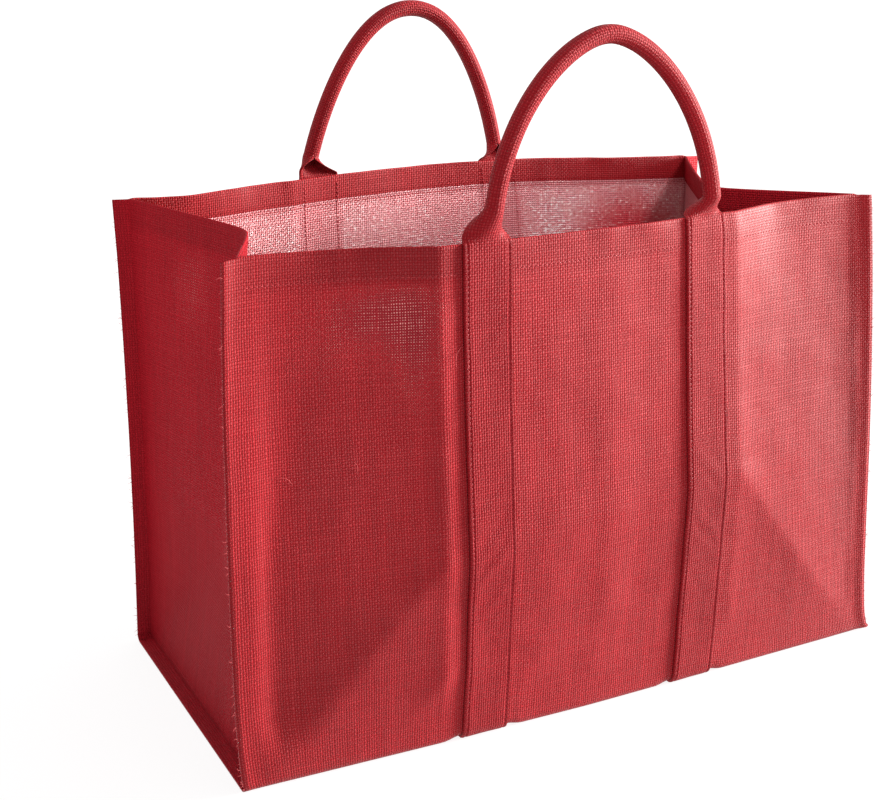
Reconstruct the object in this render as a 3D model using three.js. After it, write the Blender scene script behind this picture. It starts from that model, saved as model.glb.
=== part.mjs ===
// Log carrier bag of dyed jute, standing open and empty.
// Millimetres, +Z up, X along the long side, the front face towards -Y, the floor at Z = 0.
// The origin is the middle of the base, on the floor.
import * as THREE from "three";
import { mergeVertices } from "three/addons/utils/BufferGeometryUtils.js";

// Driving sizes
const HALF_WIDTH = 300; // from the middle to the seam of an end panel
const LIP = 12; // seam edge that sticks out past each end panel
const RIM_HEIGHT = 410;
const CLOTH = 1.6; // thickness of one layer of the jute
const HEM_DEPTH = 23.5; // turned in and sewn down along the rim
const HEM_EXTRA = 1.8; // the turned layer, with its own slack
const PIECE_GAP = 0.3; // between two pieces that are sewn together
const BASE_FOLD = 7; // radius of the folds along the front and back of the base

// The straps: one strip a side, sewn up the face, rolled into a padded tube for the hand
const STRAP_WIDTH = 41;
const STRAP_CLOTH = 2.4; // thickness of a strap, whose edges are turned in
const STRAP_CENTRES = [-101.5, 104.5];
// The straps of the back are sewn on a little aslant: how far each top stands aside from its foot
const STRAP_LEAN = { front: [0, 0], back: [-6.5, -17.5] };
const TUBE_RADIUS = 7.2;
// From the rim to where the flat strap is a full tube, at the left and the right neck
const NECK_HEIGHTS = { front: [25, 17], back: [20, 20] };

// The old folds of the flat-packed bag: upright ones, and slanted ones from there to the base corners
const FACE_FOLD = 140; // distance of an upright fold from the middle of a face
const FACE_MEET = { left: 162, right: 190 }; // height at which the folds of a face meet
const END_MEET = 150; // height at which the folds of an end panel meet
const FRONT_BELLY = 12;
const BACK_BELLY = 8;
const BELLY_FADE = 1.6; // above the folds' meeting point the belly dies out by this power
const CREASE_DROP = 7.5; // the middle of an end panel hangs this much lower at the rim

const STRAP_STACK = STRAP_CLOTH + PIECE_GAP; // how far a strap lifts the cloth that lies over it
const HALF_STRAP = STRAP_WIDTH / 2;
const DYED_JUTE = { body: 0xb2303a, gusset: 0xa0242f, strap: 0xb8323c };

// The rim and the base line of each face, from the left lip to the right lip
const FRONT_LINES = [
  { across: -312, base: -146, rim: -133, rimHeight: 410, rise: 2.2 },
  { across: -300, base: -146, rim: -128, rimHeight: 410.5, rise: 2.2 },
  { across: -283, base: -146.5, rim: -124.5, rimHeight: 410.6, rise: 2.2 },
  { across: -255, base: -147.5, rim: -128, rimHeight: 410, rise: 2.1 },
  { across: -205, base: -149, rim: -136, rimHeight: 410, rise: 2 },
  { across: -140, base: -151, rim: -150.5, rimHeight: 409.1, rise: 2 },
  { across: -122, base: -151, rim: -149.5, rimHeight: 408.8, rise: 2 },
  { across: -81, base: -151.5, rim: -149, rimHeight: 408.9, rise: 2 },
  { across: 0, base: -153, rim: -147.5, rimHeight: 409.1, rise: 1.9 },
  { across: 84, base: -151.5, rim: -140.5, rimHeight: 409.8, rise: 1.8 },
  { across: 125, base: -150.5, rim: -134, rimHeight: 409.8, rise: 1.7 },
  { across: 140, base: -150.5, rim: -132.8, rimHeight: 409.7, rise: 1.5 },
  { across: 205, base: -149, rim: -117, rimHeight: 410.6, rise: 2.3 },
  { across: 255, base: -148, rim: -113.8, rimHeight: 410.7, rise: 2.2 },
  { across: 285, base: -147, rim: -114, rimHeight: 410.5, rise: 2.1 },
  { across: 300, base: -146.4, rim: -114, rimHeight: 410.4, rise: 2.1 },
  { across: 305, base: -146.6, rim: -115, rimHeight: 410.3, rise: 2.1 },
  { across: 312, base: -147, rim: -117.5, rimHeight: 410, rise: 2.1 },
];
const BACK_LINES = [
  { across: -312, base: 146, rim: 146, rimHeight: 413.2, rise: 1.5 },
  { across: -300, base: 146, rim: 142.5, rimHeight: 413.2, rise: 1.5 },
  { across: -283, base: 146.5, rim: 139.5, rimHeight: 412.8, rise: 1.5 },
  { across: -255, base: 147, rim: 138.5, rimHeight: 412.3, rise: 1.4 },
  { across: -205, base: 148, rim: 146.5, rimHeight: 413.6, rise: 1.3 },
  { across: -140, base: 149, rim: 161.7, rimHeight: 414.6, rise: 1.2 },
  { across: -81, base: 150, rim: 174.5, rimHeight: 416.2, rise: 1.2 },
  { across: 20, base: 151, rim: 184, rimHeight: 417, rise: 1.2 },
  { across: 84, base: 150, rim: 183, rimHeight: 417, rise: 1.2 },
  { across: 125, base: 149.5, rim: 178, rimHeight: 416.6, rise: 1.2 },
  { across: 140, base: 149, rim: 174.7, rimHeight: 416.4, rise: 1.2 },
  { across: 205, base: 148, rim: 158, rimHeight: 414.9, rise: 1.3 },
  { across: 255, base: 147, rim: 147.5, rimHeight: 414.2, rise: 1.4 },
  { across: 285, base: 146.5, rim: 142.5, rimHeight: 413.7, rise: 1.5 },
  { across: 300, base: 146, rim: 140.5, rimHeight: 413.4, rise: 1.5 },
  { across: 312, base: 146, rim: 140, rimHeight: 413.2, rise: 1.5 },
];

// How far each upright seam leans in along X from its place at HALF_WIDTH, by height
const SEAM_LEAN = [
  { height: 0, frontLeft: 6, frontRight: 0.5, backLeft: 0.5, backRight: 0.5 },
  { height: 15, frontLeft: 4, frontRight: -6, backLeft: 1, backRight: -1 },
  { height: 60, frontLeft: 2, frontRight: -10.5, backLeft: 2.7, backRight: -3 },
  { height: 120, frontLeft: 2, frontRight: -13, backLeft: 4.6, backRight: -5.5 },
  { height: 200, frontLeft: 3.3, frontRight: -14, backLeft: 6.4, backRight: -8 },
  { height: 290, frontLeft: 6, frontRight: -14.5, backLeft: 7.4, backRight: -10 },
  { height: 360, frontLeft: 9.5, frontRight: -14.5, backLeft: 7.6, backRight: -11.5 },
  { height: 410, frontLeft: 13, frontRight: -14.5, backLeft: 6.8, backRight: -12 },
];

// How deep the upright crease in the middle of each end panel is drawn in, by height
const CREASE_DEPTH = [
  { height: 150, left: 26, right: 26 },
  { height: 225, left: 34, right: 40 },
  { height: 305, left: 42, right: 50 },
  { height: 410, left: 52.5, right: 61 },
];

// The two hand loops: where their feet stand, how high they rise and how pointed they are
const FRONT_LOOP = {
  left: [-97.8, -151.7],
  right: [109.8, -139.3],
  foot: 410,
  height: 145.9,
  lean: 2,
  spread: 1.2,
  point: 1.03,
};
const BACK_LOOP = {
  left: [-116.9, 172.4],
  right: [87.4, 183.5],
  foot: 416,
  height: 150.4,
  lean: -5.2,
  spread: 0.95,
  point: 1.56,
};

// Heights of the rows on a face, from the rim down, and the places of the rows on the base
const HEM_EDGE = RIM_HEIGHT - HEM_DEPTH;
const FACE_ROWS = [
  ...[RIM_HEIGHT, HEM_EDGE + 1, HEM_EDGE - 1, 345, 305, 265, 225],
  ...[FACE_MEET.right, FACE_MEET.left, END_MEET, 120, 90, 60, 30, BASE_FOLD],
];
const FOLD_ANGLES = [60, 30];
const BASE_ROWS = Array.from({ length: 11 }, (_, i) => i / 5 - 1);

const STRAP_COLUMNS = STRAP_CENTRES.flatMap((centre) => [centre - HALF_STRAP, centre, centre + HALF_STRAP]);
const FOLD_COLUMNS = [FACE_FOLD, 175, 210, 240, 270, 285, HALF_WIDTH, HALF_WIDTH + LIP];
const COLUMNS = [...FOLD_COLUMNS.map((x) => -x), ...STRAP_COLUMNS, -42, 0, 42, ...FOLD_COLUMNS];
COLUMNS.sort((a, b) => a - b);
const LEFT_TIP = 0;
const LEFT_SEAM = 1;
const RIGHT_SEAM = COLUMNS.length - 2;
const RIGHT_TIP = COLUMNS.length - 1;

// Tables are read in between their rows by straight lines
function readTable(table, key, at, column) {
  const last = table.length - 1;
  if (at <= table[0][key]) return table[0][column];
  if (at >= table[last][key]) return table[last][column];
  const next = table.findIndex((row) => row[key] > at);
  const low = table[next - 1];
  const high = table[next];
  return THREE.MathUtils.mapLinear(at, low[key], high[key], low[column], high[column]);
}

// 0 on the middle of a face as far as its upright folds, 1 at the seams
const outwards = (across) => Math.max(0, (Math.abs(across) - FACE_FOLD) / (HALF_WIDTH - FACE_FOLD));

// How far the belly of a face stands out: it lies in planes between the old folds
function bellyAt(across, height, belly) {
  const toRight = THREE.MathUtils.clamp((across + FACE_FOLD) / (2 * FACE_FOLD), 0, 1);
  const meet = THREE.MathUtils.lerp(FACE_MEET.left, FACE_MEET.right, toRight);
  const above = Math.max(height, meet);
  const fade = ((RIM_HEIGHT - above) / (RIM_HEIGHT - meet)) ** BELLY_FADE;
  const side = belly * fade * Math.max(0, 1 - outwards(across));
  return Math.min(belly * (height / meet), side);
}

// X of a place on a face: the outer thirds follow the leaning seams
function leanedX(across, height, left, right) {
  const column = across < 0 ? left : right;
  return across + Math.min(1, outwards(across)) * readTable(SEAM_LEAN, "height", height, column);
}

// The cloth of the base is lifted where a strap passes under it
function liftAt(across) {
  const near = Math.min(...STRAP_CENTRES.map((centre) => Math.abs(across - centre)));
  return near <= HALF_STRAP ? STRAP_STACK : 0;
}

function facePoint(across, height, side, lines, belly, left, right) {
  const read = (column) => readTable(lines, "across", across, column);
  const floor = liftAt(across) + BASE_FOLD;
  const rise = (height / RIM_HEIGHT) ** read("rise");
  const y = THREE.MathUtils.lerp(read("base"), read("rim"), rise) + side * bellyAt(across, height, belly);
  const z = THREE.MathUtils.mapLinear(height, BASE_FOLD, RIM_HEIGHT, floor, read("rimHeight"));
  return new THREE.Vector3(leanedX(across, height, left, right), y, z);
}

const frontPoint = (across, height) =>
  facePoint(across, height, -1, FRONT_LINES, FRONT_BELLY, "frontLeft", "frontRight");
const backPoint = (across, height) =>
  facePoint(across, height, 1, BACK_LINES, BACK_BELLY, "backLeft", "backRight");

// A place on the rounded fold along the front (side -1) or the back (side 1) of the base
function foldPoint(across, degrees, side) {
  const angle = THREE.MathUtils.degToRad(degrees);
  const front = side < 0;
  const line = readTable(front ? FRONT_LINES : BACK_LINES, "across", across, "base");
  const x = leanedX(across, 0, front ? "frontLeft" : "backLeft", front ? "frontRight" : "backRight");
  const y = line - side * BASE_FOLD * (1 - Math.sin(angle));
  return new THREE.Vector3(x, y, liftAt(across) + BASE_FOLD * (1 - Math.cos(angle)));
}

function basePoint(across, along) {
  const front = foldPoint(across, 0, -1);
  return front.lerp(foldPoint(across, 0, 1), (along + 1) / 2);
}

// The outer face of the body cloth, row by row: down the front, under the base, up the back
function bodyRows() {
  const rowOf = (pointAt) => COLUMNS.map(pointAt);
  return [
    ...FACE_ROWS.map((height) => rowOf((across) => frontPoint(across, height))),
    ...FOLD_ANGLES.map((angle) => rowOf((across) => foldPoint(across, angle, -1))),
    ...BASE_ROWS.map((along) => rowOf((across) => basePoint(across, along))),
    ...FOLD_ANGLES.toReversed().map((angle) => rowOf((across) => foldPoint(across, angle, 1))),
    ...FACE_ROWS.toReversed().map((height) => rowOf((across) => backPoint(across, height))),
  ];
}

// A grid of points as triangles. Points in one place count as one, and empty triangles are left out.
function gridSurface(rows, splitsFalling) {
  const places = new Map();
  const points = [];
  const numbers = rows.map((row) =>
    row.map((point) => {
      const key = point.toArray().map((value) => value.toFixed(3)).join();
      if (!places.has(key)) places.set(key, points.push(point) - 1);
      return places.get(key);
    }),
  );
  const triangles = [];
  const addTriangle = (a, b, c) => {
    if (a !== b && b !== c && a !== c) triangles.push([a, b, c]);
  };
  for (let r = 0; r < rows.length - 1; r += 1) {
    for (let c = 0; c < rows[r].length - 1; c += 1) {
      const [a, b, d, e] = [numbers[r][c], numbers[r][c + 1], numbers[r + 1][c], numbers[r + 1][c + 1]];
      if (splitsFalling(r, c)) {
        addTriangle(a, b, e);
        addTriangle(a, e, d);
      } else {
        addTriangle(a, b, d);
        addTriangle(b, e, d);
      }
    }
  }
  return { numbers, points, triangles };
}

// For each point, the step that moves every face at that point out by one millimetre
function offsetSteps({ points, triangles }) {
  const faces = points.map(() => []);
  for (const corners of triangles) {
    const [a, b, c] = corners.map((i) => points[i]);
    const normal = new THREE.Triangle(a, b, c).getNormal(new THREE.Vector3());
    for (const i of corners) {
      if (!faces[i].some((other) => other.dot(normal) > 0.9999)) faces[i].push(normal);
    }
  }
  return faces.map((normals) => {
    const steady = 1e-3; // keeps the sum solvable where all faces at a point lie in one plane
    const sum = new THREE.Vector3();
    const m = [steady, 0, 0, 0, steady, 0, 0, 0, steady];
    for (const normal of normals) {
      const n = normal.toArray();
      sum.add(normal);
      for (let i = 0; i < 9; i += 1) m[i] += n[Math.floor(i / 3)] * n[i % 3];
    }
    return sum.applyMatrix3(new THREE.Matrix3().set(...m).invert());
  });
}

// One closed solid from a list of points and triangles, turned so that its faces point out
function closedGeometry(points, triangles) {
  const volume = triangles.reduce((sum, [a, b, c]) => {
    const cross = new THREE.Vector3().crossVectors(points[b], points[c]);
    return sum + points[a].dot(cross) / 6;
  }, 0);
  const index = triangles.flatMap(([a, b, c]) => (volume > 0 ? [a, b, c] : [a, c, b]));
  const geometry = new THREE.BufferGeometry().setFromPoints(points).setIndex(index);
  const merged = mergeVertices(geometry, 1e-3);
  merged.computeVertexNormals();
  return merged;
}

// A sheet of cloth with its two faces at given distances from a surface, closed along its edges
function sheetGeometry(surface, outer, inner) {
  const steps = offsetSteps(surface);
  const { numbers, points, triangles } = surface;
  const shift = points.map(() => [0, 0]);
  numbers.forEach((row, r) => row.forEach((i, c) => (shift[i] = [outer(r, c), inner(r, c)])));
  const face = (side) => points.map((point, i) => point.clone().addScaledVector(steps[i], shift[i][side]));
  const count = points.length;
  const edges = new Map();
  for (const [a, b, c] of triangles) {
    for (const [from, to] of [[a, b], [b, c], [c, a]]) {
      if (!edges.delete(`${to},${from}`)) edges.set(`${from},${to}`, [from, to]);
    }
  }
  const sides = [...edges.values()].flatMap(([from, to]) => [
    [to, from, from + count],
    [to, from + count, to + count],
  ]);
  const back = triangles.map(([a, b, c]) => [a + count, c + count, b + count]);
  return closedGeometry([...face(0), ...face(1)], [...triangles, ...back, ...sides]);
}

// One closed solid through a row of rings that all have the same number of points
function loftGeometry(rings) {
  const size = rings[0].length;
  const triangles = [];
  for (let r = 0; r < rings.length - 1; r += 1) {
    for (let i = 0; i < size; i += 1) {
      const [a, b] = [r * size + i, r * size + ((i + 1) % size)];
      triangles.push([a, b, b + size], [a, b + size, a + size]);
    }
  }
  const end = (rings.length - 1) * size;
  for (let i = 0; i < size / 2 - 1; i += 1) {
    const [a, b, c, d] = [i, i + 1, size - 2 - i, size - 1 - i];
    triangles.push([a, c, b], [a, d, c], [a + end, b + end, c + end], [a + end, c + end, d + end]);
  }
  return closedGeometry(rings.flat(), triangles);
}

const body = bodyRows();
const frontRowCount = FACE_ROWS.length + FOLD_ANGLES.length;
const middleRow = frontRowCount + (BASE_ROWS.length - 1) / 2;
const isFront = (row) => row < frontRowCount;
const bodySurface = gridSurface(body, (row, column) => isFront(row) === COLUMNS[column] >= 0);
const bodySteps = offsetSteps(bodySurface);

// The outward side of the body's surface, found once from the base, whose outside faces down
const middleOfBase = bodySurface.numbers[middleRow][COLUMNS.indexOf(0)];
const OUT = Math.sign(-bodySteps[middleOfBase].z);

// A place at a given distance outside the body cloth's outer face
function besideBody(row, column, distance) {
  const step = bodySteps[bodySurface.numbers[row][column]];
  return body[row][column].clone().addScaledVector(step, OUT * distance);
}

function bodyCloth() {
  const lastRow = body.length - 1;
  const hemmed = (row, column) =>
    Math.min(row, lastRow - row) < 2 && column > LEFT_SEAM && column < RIGHT_SEAM;
  const inner = (row, column) => -OUT * (CLOTH + (hemmed(row, column) ? HEM_EXTRA : 0));
  return sheetGeometry(bodySurface, () => 0, inner);
}

// An end panel: its rows hang between the two upright seams, its lips lie inside the body's lips
function gusset(seam, tip, side) {
  const inside = CLOTH + PIECE_GAP;
  const rootAt = (row) => besideBody(row, seam, -inside);
  const tipAt = (row) => besideBody(row, tip, -inside);
  const lastRow = body.length - 1;
  const heights = [...FACE_ROWS, ...FOLD_ANGLES.map(() => 0)];
  const deepAt = (height) => readTable(CREASE_DEPTH, "height", height, side < 0 ? "left" : "right");
  const panelRow = (height, row) => {
    const front = rootAt(row);
    const back = rootAt(lastRow - row);
    const inner = BASE_ROWS.slice(1, -1).map((along) => {
      const toMiddle = 1 - Math.abs(along);
      const belowFolds = (deepAt(END_MEET) * height) / END_MEET;
      const depth = Math.min(belowFolds, deepAt(height) * toMiddle);
      const point = front.clone().lerp(back, (along + 1) / 2);
      point.x -= side * depth;
      point.z -= CREASE_DROP * toMiddle * (height / RIM_HEIGHT) ** 2;
      return point;
    });
    return [tipAt(row), front, ...inner, back, tipAt(lastRow - row)];
  };
  const baseRows = BASE_ROWS.map((_, i) => frontRowCount + i);
  const baseEnds = [baseRows[0], baseRows[baseRows.length - 1]];
  const withEnds = (pointAt) => [tipAt(baseEnds[0]), ...baseRows.map(pointAt), tipAt(baseEnds[1])];
  const rows = [...heights.map(panelRow), withEnds(rootAt), withEnds(tipAt)];
  const lastColumn = rows[0].length - 1;
  const surface = gridSurface(rows, (row, column) => column > lastColumn / 2 - 0.5);
  const onFrontHalf = surface.numbers[FACE_ROWS.indexOf(305)][2];
  const out = Math.sign(offsetSteps(surface)[onFrontHalf].x) === side ? 1 : -1;
  const hemmed = (row, column) => row < 2 && column > 1 && column < lastColumn - 1;
  const inner = (row, column) => (hemmed(row, column) ? -out * HEM_EXTRA : 0);
  return sheetGeometry(surface, () => out * CLOTH, inner);
}

// A ring of ten points: five along one face, from one edge to the other, and five back along the other
const RING_PLACES = [-1, -0.5, 0, 0.5, 1];
const RING_ANGLES = [162, 126, 90, 54, 18].map(THREE.MathUtils.degToRad);

// How high a row of the body stands, from 0 under the base to 1 at the rim
const shareUp = (row) => (FACE_ROWS[Math.min(row, body.length - 1 - row)] ?? 0) / RIM_HEIGHT;

// The flat strap on the bag, a little outside the body cloth
function strapRing(row, { centre, lean }, rightwards) {
  const at = (place, distance) => {
    const across = centre + lean * shareUp(row) ** 2 + place * HALF_STRAP;
    const next = COLUMNS.findIndex((column) => column > across);
    const share = (across - COLUMNS[next - 1]) / (COLUMNS[next] - COLUMNS[next - 1]);
    return besideBody(row, next - 1, distance).lerp(besideBody(row, next, distance), share);
  };
  const places = rightwards ? RING_PLACES : RING_PLACES.toReversed();
  return [
    ...places.map((place) => at(place, STRAP_STACK)),
    ...places.toReversed().map((place) => at(place, PIECE_GAP)),
  ];
}

// A ring between flat (0) and round (1), with its width along one direction and its face towards another
function handleRing(centre, width, out, round) {
  const pointAt = (i, face) => {
    const flat = [RING_PLACES[i] * HALF_STRAP, (face * STRAP_CLOTH) / 2];
    const tube = [Math.cos(RING_ANGLES[i]), face * Math.sin(RING_ANGLES[i])].map((v) => v * TUBE_RADIUS);
    const [w, o] = flat.map((value, axis) => THREE.MathUtils.lerp(value, tube[axis], round));
    return centre.clone().addScaledVector(width, w).addScaledVector(out, o);
  };
  const order = [0, 1, 2, 3, 4];
  return [...order.map((i) => pointAt(i, 1)), ...order.toReversed().map((i) => pointAt(i, -1))];
}

// The centre line of a hand loop, and the plane in which it stands
function handleLoop({ left, right, foot, height, lean, spread, point }) {
  const start = new THREE.Vector3(...left, foot);
  const end = new THREE.Vector3(...right, foot);
  const half = end.clone().sub(start).divideScalar(2);
  const along = half.clone().normalize();
  const across = new THREE.Vector3(-along.y, along.x, 0);
  const up = new THREE.Vector3(0, 0, 1).applyAxisAngle(along, -THREE.MathUtils.degToRad(lean));
  const at = (angle) =>
    start.clone().add(end).divideScalar(2)
      .addScaledVector(half, -Math.sign(Math.cos(angle)) * Math.abs(Math.cos(angle)) ** spread)
      .addScaledVector(up, height * Math.sin(angle) ** point);
  const angleAt = (rise) => Math.asin((rise / height) ** (1 / point));
  return { at, angleAt, normal: across.cross(up).cross(along).normalize() };
}

const NECK_STEPS = 6;
const LOOP_STEPS = 26;

// A whole strip: under the base, up one strap, over the hand loop, down the other strap, under the base
function handleStrip(size, side) {
  const loop = handleLoop(size);
  const faceName = side < 0 ? "front" : "back";
  const [leftPlace, rightPlace] = STRAP_CENTRES.map((centre, i) => ({
    centre,
    lean: STRAP_LEAN[faceName][i],
    neckHeight: NECK_HEIGHTS[faceName][i],
  }));
  const face = new THREE.Vector3(0, side, 0);
  const rimRow = side < 0 ? 0 : body.length - 1;
  const step = side < 0 ? 1 : -1;
  const strapRows = [];
  for (let row = middleRow; row !== rimRow - step; row -= step) strapRows.push(row);
  const strap = (place, rightwards) =>
    strapRows.map((row) => {
      const ring = strapRing(row, place, rightwards);
      if (row === middleRow) ring.forEach((point) => (point.y += (side * PIECE_GAP) / 2));
      return ring;
    });
  const topOf = (place) => {
    const ring = strapRing(rimRow, place, true);
    return ring.reduce((sum, point) => sum.add(point), new THREE.Vector3()).divideScalar(ring.length);
  };
  const neck = (place, angleAt) =>
    Array.from({ length: NECK_STEPS }, (_, i) => {
      const rise = (place.neckHeight * (i + 1)) / NECK_STEPS;
      const share = THREE.MathUtils.smoothstep(rise, 0, place.neckHeight);
      const straight = topOf(place).add(new THREE.Vector3(0, 0, rise));
      return { centre: straight.lerp(loop.at(angleAt(rise)), share), round: share };
    });
  const first = loop.angleAt(leftPlace.neckHeight);
  const last = Math.PI - loop.angleAt(rightPlace.neckHeight);
  const angles = Array.from({ length: LOOP_STEPS - 1 }, (_, i) =>
    THREE.MathUtils.lerp(first, last, (i + 1) / LOOP_STEPS),
  );
  const spine = [
    ...neck(leftPlace, loop.angleAt),
    ...angles.map((angle) => ({ centre: loop.at(angle), round: 1 })),
    ...neck(rightPlace, (rise) => Math.PI - loop.angleAt(rise)).toReversed(),
  ];
  const normal = loop.normal.dot(face) > 0 ? loop.normal : loop.normal.negate();
  const rings = spine.map(({ centre, round }, i) => {
    const before = spine[Math.max(0, i - 1)].centre;
    const after = spine[Math.min(spine.length - 1, i + 1)].centre;
    const travel = after.clone().sub(before).normalize();
    travel.lerp(new THREE.Vector3(0, 0, Math.sign(travel.z)), 1 - round).normalize();
    const out = face.clone().lerp(normal, round).normalize();
    return handleRing(centre, travel.cross(out).normalize(), out, round);
  });
  const rightwards = side < 0;
  return loftGeometry([
    ...strap(leftPlace, rightwards),
    ...rings,
    ...strap(rightPlace, !rightwards).toReversed(),
  ]);
}

function clothMesh(name, geometry, colour) {
  const material = new THREE.MeshStandardMaterial({ color: colour, roughness: 0.95, metalness: 0 });
  const mesh = new THREE.Mesh(geometry, material);
  mesh.name = name;
  return mesh;
}

const bag = new THREE.Group();
bag.add(
  clothMesh("body_cloth", bodyCloth(), DYED_JUTE.body),
  clothMesh("gusset_left", gusset(LEFT_SEAM, LEFT_TIP, -1), DYED_JUTE.gusset),
  clothMesh("gusset_right", gusset(RIGHT_SEAM, RIGHT_TIP, 1), DYED_JUTE.gusset),
  clothMesh("handle_strip_front", handleStrip(FRONT_LOOP, -1), DYED_JUTE.strap),
  clothMesh("handle_strip_back", handleStrip(BACK_LOOP, 1), DYED_JUTE.strap),
);

export default bag;
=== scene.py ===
"""Looks of the log carrier bag: dyed jute cloth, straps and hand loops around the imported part.

The shapes are worked out in millimetres, from the same sizes and tables as the part, and become
metres where a mesh is made. X runs along the long side, the front face looks towards -Y, +Z is up.
"""

import math

import bpy
import numpy as np
from mathutils import Matrix, Vector


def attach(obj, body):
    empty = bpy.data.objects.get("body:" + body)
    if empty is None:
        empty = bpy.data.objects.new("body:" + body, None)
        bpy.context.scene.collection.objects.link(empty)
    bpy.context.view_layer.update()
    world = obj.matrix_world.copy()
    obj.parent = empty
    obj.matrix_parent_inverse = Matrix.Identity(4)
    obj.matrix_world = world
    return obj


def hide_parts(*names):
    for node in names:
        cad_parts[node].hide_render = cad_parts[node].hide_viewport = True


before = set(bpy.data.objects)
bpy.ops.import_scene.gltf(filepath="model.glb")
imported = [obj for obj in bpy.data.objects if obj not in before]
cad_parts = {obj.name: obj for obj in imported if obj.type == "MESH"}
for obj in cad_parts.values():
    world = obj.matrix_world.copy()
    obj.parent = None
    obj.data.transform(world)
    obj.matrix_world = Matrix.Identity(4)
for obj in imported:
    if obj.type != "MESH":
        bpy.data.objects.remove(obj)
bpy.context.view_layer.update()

MM = 0.001
rng = np.random.default_rng(7)

# Driving sizes, the same as the part's
HALF_WIDTH = 300
LIP = 12
RIM_HEIGHT = 410
CLOTH = 1.6
SHOWN_CLOTH = 0.8
HEM_DEPTH = 23.5
HEM_EXTRA = 1.8
PIECE_GAP = 0.3
# Radius of the soft fold where a face turns into the base
BASE_FOLD = 7
STRAP_WIDTH = 41
STRAP_CLOTH = 2.4
STRAP_CENTRES = (-101.5, 104.5)
# The straps of the back are sewn on a little aslant: how far each top stands aside from its foot
STRAP_LEAN = {-1: (0, 0), 1: (-6.5, -17.5)}
TUBE_RADIUS = 7.2
# From the rim to where the flat strap is a full tube: left and right neck, front (-1) and back
NECK_HEIGHTS = {-1: (25, 17), 1: (20, 20)}
# The upright folds of a face stand this far from its middle. The slanting folds from the corners
# meet them at these heights: on a face at its left and right, and on an end panel
FACE_FOLD = 140
FACE_MEET = (162, 190)
END_MEET = 150
# How far the faces bulge, and how fast that fades towards the rim
FRONT_BELLY = 12
BACK_BELLY = 8
BELLY_FADE = 1.6
# How far the rim of an end panel sags at its crease
CREASE_DROP = 7.5
STRAP_STACK = STRAP_CLOTH + PIECE_GAP
HALF_STRAP = STRAP_WIDTH / 2
# Radius at which a strap rolls into the tube, through the middle of its cloth
ROLL_RADIUS = TUBE_RADIUS - STRAP_CLOTH / 2

# Spacing of the points on the finished cloth
GRID = 4.2
STRIP_GRID = 2.6


def table(columns, *rows):
    """A short table as one array a column."""
    return dict(zip(columns.split(), np.array(rows, float).T))


LINE_COLUMNS = "across base rim rim_height rise"
FRONT_LINES = table(
    LINE_COLUMNS,
    (-312, -146, -133, 410, 2.2),
    (-300, -146, -128, 410.5, 2.2),
    (-283, -146.5, -124.5, 410.6, 2.2),
    (-255, -147.5, -128, 410, 2.1),
    (-205, -149, -136, 410, 2),
    (-140, -151, -150.5, 409.1, 2),
    (-122, -151, -149.5, 408.8, 2),
    (-81, -151.5, -149, 408.9, 2),
    (0, -153, -147.5, 409.1, 1.9),
    (84, -151.5, -140.5, 409.8, 1.8),
    (125, -150.5, -134, 409.8, 1.7),
    (140, -150.5, -132.8, 409.7, 1.5),
    (205, -149, -117, 410.6, 2.3),
    (255, -148, -113.8, 410.7, 2.2),
    (285, -147, -114, 410.5, 2.1),
    (300, -146.4, -114, 410.4, 2.1),
    (305, -146.6, -115, 410.3, 2.1),
    (312, -148, -118.4, 410, 2.1),
)
BACK_LINES = table(
    LINE_COLUMNS,
    (-312, 146, 146, 413.2, 1.5),
    (-300, 146, 142.5, 413.2, 1.5),
    (-283, 146.5, 139.5, 412.8, 1.5),
    (-255, 147, 138.5, 412.3, 1.4),
    (-205, 148, 146.5, 413.6, 1.3),
    (-140, 149, 161.7, 414.6, 1.2),
    (-81, 150, 174.5, 416.2, 1.2),
    (20, 151, 184, 417, 1.2),
    (84, 150, 183, 417, 1.2),
    (125, 149.5, 178, 416.6, 1.2),
    (140, 149, 174.7, 416.4, 1.2),
    (205, 148, 158, 414.9, 1.3),
    (255, 147, 147.5, 414.2, 1.4),
    (285, 146.5, 142.5, 413.7, 1.5),
    (300, 146, 140.5, 413.4, 1.5),
    (312, 146, 140, 413.2, 1.5),
)
SEAM_LEAN = table(
    "height front_left front_right back_left back_right",
    (0, 6, 0.5, 0.5, 0.5),
    (15, 4, -6, 1, -1),
    (60, 2, -10.5, 2.7, -3),
    (120, 2, -13, 4.6, -5.5),
    (200, 3.3, -14, 6.4, -8),
    (290, 6, -14.5, 7.4, -10),
    (360, 9.5, -14.5, 7.6, -11.5),
    (410, 13, -14.5, 6.8, -12),
)
CREASE_DEPTH = table(
    "height left right",
    (150, 26, 26),
    (225, 34, 40),
    (305, 42, 50),
    (410, 52.5, 61),
)
# The hand loops: where they stand, how high, how far they lean, how full their sides and tops are
FRONT_LOOP = dict(
    left=(-97.8, -151.7),
    right=(109.8, -139.3),
    foot=410,
    height=145.9,
    lean=2,
    spread=1.2,
    point=1.03,
)
BACK_LOOP = dict(
    left=(-116.9, 172.4),
    right=(87.4, 183.5),
    foot=416,
    height=150.4,
    lean=-5.2,
    spread=0.95,
    point=1.56,
)


# Small tools for fields of numbers


def blur(values, reach, axis=0):
    """A soft average along one axis. reach is in grid steps."""
    if reach < 0.3:
        return values
    span = int(math.ceil(3 * reach))
    weights = np.exp(-0.5 * (np.arange(-span, span + 1) / reach) ** 2)
    padding = [(0, 0)] * values.ndim
    padding[axis] = (span, span)
    padded = np.pad(values, padding, mode="reflect", reflect_type="odd")
    return np.apply_along_axis(np.convolve, axis, padded, weights / weights.sum(), "valid")


def smoothstep(value, low=0.0, high=1.0):
    share = np.clip((value - low) / (high - low), 0, 1)
    return share * share * (3 - 2 * share)


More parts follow.
